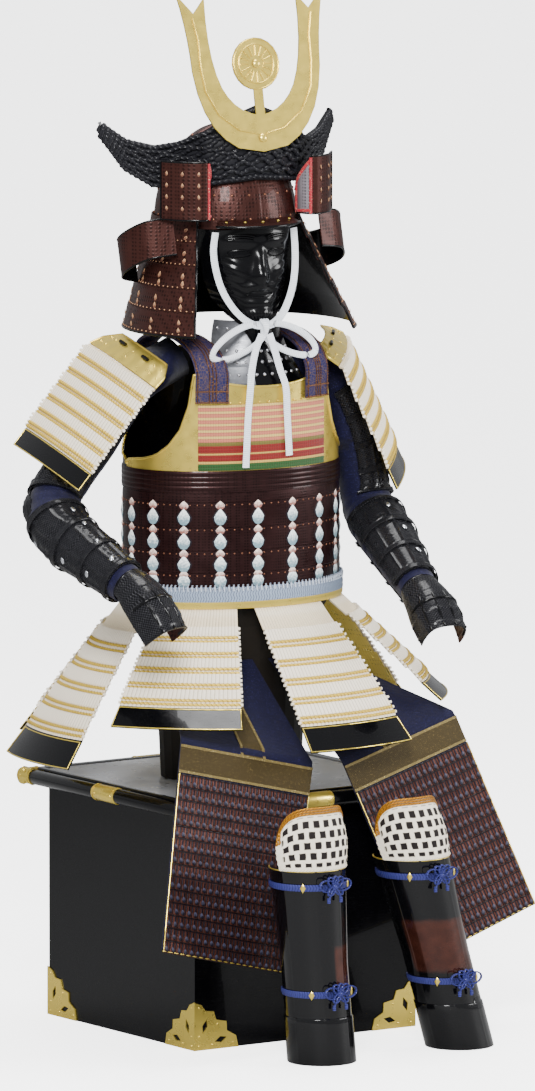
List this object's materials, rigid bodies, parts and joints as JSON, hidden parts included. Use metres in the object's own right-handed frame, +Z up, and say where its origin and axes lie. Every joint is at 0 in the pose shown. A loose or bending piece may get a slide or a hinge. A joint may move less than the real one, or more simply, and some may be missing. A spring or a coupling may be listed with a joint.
{
  "type": "samurai armour on its armour chest",
  "caption": "Laced samurai armour set with crested helmet, face mask, cuirass, sleeves and leg guards, seated on its armour chest.",
  "frame": {"origin": "middle of the chest's underside, on the floor", "axes": "+Z up, the armour faces -Y, +X is on the right seen from the front"},
  "size_m": [0.7631, 0.7724, 1.6614],
  "materials": {
    "black_lacquer": "glossy black lacquer on iron",
    "russet_lacquer": "russet lacquer",
    "cream_lacing": "cream silk lacing with gold cord",
    "gilt": "gilt, satin",
    "blue_cloth": "dark blue cloth",
    "copper_scales": "small russet scales laced in dark blue",
    "pale_sash": "pale blue-grey plaited cord",
    "white_cord": "white silk cord",
    "blue_tie": "dark blue silk cord",
    "grey_iron": "grey iron with rivets",
    "chest_black": "black lacquered wood",
    "lid_grey": "pale silver-grey lacquer with a dark rim"
  },
  "bodies": {
    "root": {"chest_box": "chest_black", "chest_lid": "lid_grey", "corner_fitting_1": "gilt", "corner_fitting_2": "gilt", "corner_fitting_3": "gilt", "corner_fitting_4": "gilt", "hip_stand": "chest_black", "thigh_cloth_right": "blue_cloth", "thigh_cloth_left": "blue_cloth", "thigh_scales_right": "copper_scales", "thigh_scales_left": "copper_scales", "shin_guard_right": "black_lacquer", "shin_guard_left": "black_lacquer", "knee_guard_right": "cream_lacing", "knee_guard_left": "cream_lacing", "shin_tie_upper_right": "blue_tie", "shin_tie_lower_right": "blue_tie", "shin_tie_upper_left": "blue_tie", "shin_tie_lower_left": "blue_tie", "cuirass_trunk": "russet_lacquer", "waist_sash": "pale_sash", "chest_plate": "gilt", "back_plate": "black_lacquer", "shoulder_strap_right": "blue_cloth", "shoulder_strap_left": "blue_cloth", "tasset_1": "cream_lacing", "tasset_2": "cream_lacing", "tasset_3": "cream_lacing", "tasset_4": "cream_lacing", "tasset_5": "cream_lacing", "tasset_6": "cream_lacing", "tasset_7": "cream_lacing", "helmet_bowl": "russet_lacquer", "helmet_visor": "black_lacquer", "turned_panel_right": "russet_lacquer", "turned_panel_left": "russet_lacquer", "neck_wing_right": "russet_lacquer", "neck_wing_left": "russet_lacquer", "neck_guard": "russet_lacquer", "crest_base": "black_lacquer", "crest": "gilt", "face_mask": "black_lacquer", "throat_guard": "grey_iron", "chin_cord": "white_cord", "chin_tail_right": "white_cord", "chin_tail_left": "white_cord", "shoulder_board_right": "gilt", "shoulder_board_left": "gilt", "shoulder_field_right": "cream_lacing", "shoulder_field_left": "cream_lacing", "sleeve_right": "blue_cloth", "sleeve_left": "blue_cloth", "arm_plate_right": "black_lacquer", "arm_plate_left": "black_lacquer", "forearm_splints_right": "black_lacquer", "forearm_splints_left": "black_lacquer", "hand_guard_right": "black_lacquer", "hand_guard_left": "black_lacquer"}
  },
  "joints": []
}
